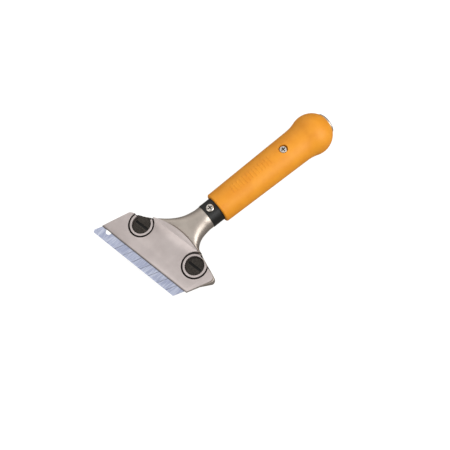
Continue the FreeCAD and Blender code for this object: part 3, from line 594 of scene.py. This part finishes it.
# %% Small screws and strike cap
SMALL_ROUNDING = 0.15 * MM
CROSS_DEPTH = 0.45 * MM
CROSS_REACH = 2.3 * MM
CAP_ROUNDING = 0.4 * MM
for node in ("neck_screw", "grip_screw"):
    screw = soft_edged(node, "bright_" + node, SMALL_ROUNDING)
    bright = turned_metal("bright_nickel_" + node, node, Z_AXIS, 0.6 * MM, 0.006 * MM,
                          ("AFA9A2", "CFC9C1"), 1.0, (0.12, 0.24))
    # Painted shade darkens the cross in each small screw's head.
    dress(screw, shade_in_recess(bright, node, CROSS_DEPTH, CROSS_REACH, "4A4642"))
cap = soft_edged("strike_cap", "turned_strike_cap", CAP_ROUNDING)
dress(cap, turned_metal("turned_mild_steel", "strike_cap", Y_AXIS, 0.7 * MM, 0.02 * MM,
                        ("8F8A85", "B9B4AE"), 1.0, (0.3, 0.48)))

# %% [markdown]
# ## Black powder-coated tube and nylon plug
# The tube is steel with a baked black powder coat, which levels into a very fine orange peel about
# 1 mm across. The plug inside it is moulded black nylon, duller and smoother. Both are an even
# colour with faint clouds, under a skin of small low bumps.

# %% Tube and plug
FAINT_CLOUDS = 11 * MM


def skinned(name, tones, roughness, peel, depth, **settings):
    """A coat or plastic: tones dark and light in faint clouds, and bumps peel metres across."""
    material, tree, shader, place = new_finish(name, **settings)
    clouds = blobs(tree, place, FAINT_CLOUDS, 3.0)
    tree.links.new(two_tones(tree, clouds, *tones), shader.inputs["Base Color"])
    skin = blobs(tree, place, peel, 2.0)
    tree.links.new(roughness_along(tree, skin, *roughness), shader.inputs["Roughness"])
    raise_surface(tree, shader, skin, depth)
    return material


dress_node("shaft_tube", skinned(
    "black_powder_coat", ("0F100F", "141514"), (0.36, 0.46), 1.0 * MM, 0.03 * MM, IOR=1.5,
    Specular_IOR_Level=0.32))
dress_node("end_plug", skinned(
    "moulded_black_nylon", ("18181A", "1F1F20"), (0.42, 0.52), 0.8 * MM, 0.02 * MM, IOR=1.53))

# %% [markdown]
# ## Moulded orange grip
# The grip is moulded polypropylene coloured through. Its die was spark-eroded, which leaves a fine
# even grain: the eye gets a strong soft orange with a broad weak shine and no sharp highlight. The
# grain is really about 0.15 mm and is drawn at 0.45 mm.

# %% Grip
orange = skinned("moulded_orange_polypropylene", ("D28518", "D98E1F"), (0.46, 0.58), 0.45 * MM, 0.02 * MM,
                 IOR=1.49, Specular_IOR_Level=0.35)
dress_node("grip", orange)

# %% [markdown]
# The grip tapers, so its radius has to be known along its length before anything is laid on it. It
# is read off the grip's own mesh, at the front rim and at the rim of the screw's recess.

# %% The grip's taper
FRONT_RIM = 5 * MM
RECESS_ZONE = (60 * MM, 38 * MM)
grip_low, grip_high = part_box("grip")
AXIS_HEIGHT = (grip_low[2] + grip_high[2]) / 2
corners = [vertex.co for vertex in bpy.data.objects["grip"].data.vertices]
profile = sorted({(round(corner.y, 5), round(math.hypot(corner.x, corner.z - AXIS_HEIGHT), 5))
                  for corner in corners})
front_y, front_radius = max((pair for pair in profile if pair[0] < grip_low[1] + FRONT_RIM),
                            key=lambda pair: pair[1])
rear_y, rear_radius = max((pair for pair in profile
                           if grip_low[1] + RECESS_ZONE[0] < pair[0] < grip_high[1] - RECESS_ZONE[1]),
                          key=lambda pair: pair[1])


def grip_radius(y):
    """The grip's radius at a place along its taper."""
    return front_radius + (rear_radius - front_radius) * (y - front_y) / (rear_y - front_y)


print("grip radius in mm:", round(front_radius / MM, 2), "to", round(rear_radius / MM, 2))

# %% [markdown]
# ## The grip's raised bars
# A row of low moulded bars along the top of the grip keeps a wet hand from slipping. One bar is
# modelled: a block is cut across into strips, so that it can bend, and its upper edges are rounded.

# %% One raised bar
BAR_WIDTH = 9.0 * MM
BAR_LENGTH = 1.5 * MM
BAR_HEIGHT = 0.28 * MM
ROOT_DEPTH = 0.3 * MM
BAR_ROUNDING = 0.2 * MM
BAR_ROUNDING_STEPS = 3
BAR_SHARP_ENOUGH = math.radians(60)
BAR_SMOOTH_BELOW = math.radians(40)
STRIPS = 8

bpy.ops.object.select_all(action="DESELECT")
bpy.ops.mesh.primitive_cube_add(size=1.0, location=(0, 0, (BAR_HEIGHT - ROOT_DEPTH) / 2))
pattern = bpy.context.object
pattern.name = "grip_bar_01"
pattern.scale = (BAR_WIDTH, BAR_LENGTH, BAR_HEIGHT + ROOT_DEPTH)
bpy.ops.object.transform_apply(location=True, rotation=False, scale=True)
bpy.ops.object.mode_set(mode="EDIT")
for cut in range(1, STRIPS):
    bpy.ops.mesh.select_all(action="SELECT")
    bpy.ops.mesh.bisect(plane_co=((cut / STRIPS - 0.5) * BAR_WIDTH, 0, 0), plane_no=X_AXIS)
bpy.ops.object.mode_set(mode="OBJECT")
rounding = pattern.modifiers.new("rounding", "BEVEL")
rounding.width = BAR_ROUNDING
rounding.segments = BAR_ROUNDING_STEPS
rounding.angle_limit = BAR_SHARP_ENOUGH
bpy.ops.object.modifier_apply(modifier=rounding.name)
bpy.ops.object.shade_smooth_by_angle(angle=BAR_SMOOTH_BELOW)
print("one bar's faces:", len(pattern.data.polygons))

# %% [markdown]
# The other bars are copies of the first. Each is moved along the grip and wrapped round it at the
# radius found there, with its root sunk into the plastic so that no gap shows.

# %% The row of bars
BARS = 13
BAR_PITCH = 3.6 * MM
FIRST_BAR = 20.0 * MM


def place_bar(bar, y):
    """Wrap a flat bar round the grip at y: a point's X becomes arc length, and its Z height."""
    radius = grip_radius(y)
    for vertex in bar.data.vertices:
        angle = vertex.co.x / radius
        reach = radius + vertex.co.z
        vertex.co = (reach * math.sin(angle), y + vertex.co.y, AXIS_HEIGHT + reach * math.cos(angle))


flat_mesh = pattern.data.copy()
bars = [pattern]
for number in range(2, BARS + 1):
    bars.append(bpy.data.objects.new("grip_bar_%02d" % number, flat_mesh.copy()))
    bpy.context.collection.objects.link(bars[-1])
for number, bar in enumerate(bars):
    place_bar(bar, grip_low[1] + FIRST_BAR + number * BAR_PITCH)
    bar.data.materials.clear()
    bar.data.materials.append(orange)
    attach(bar, "handle")
print("bars:", len(bars))
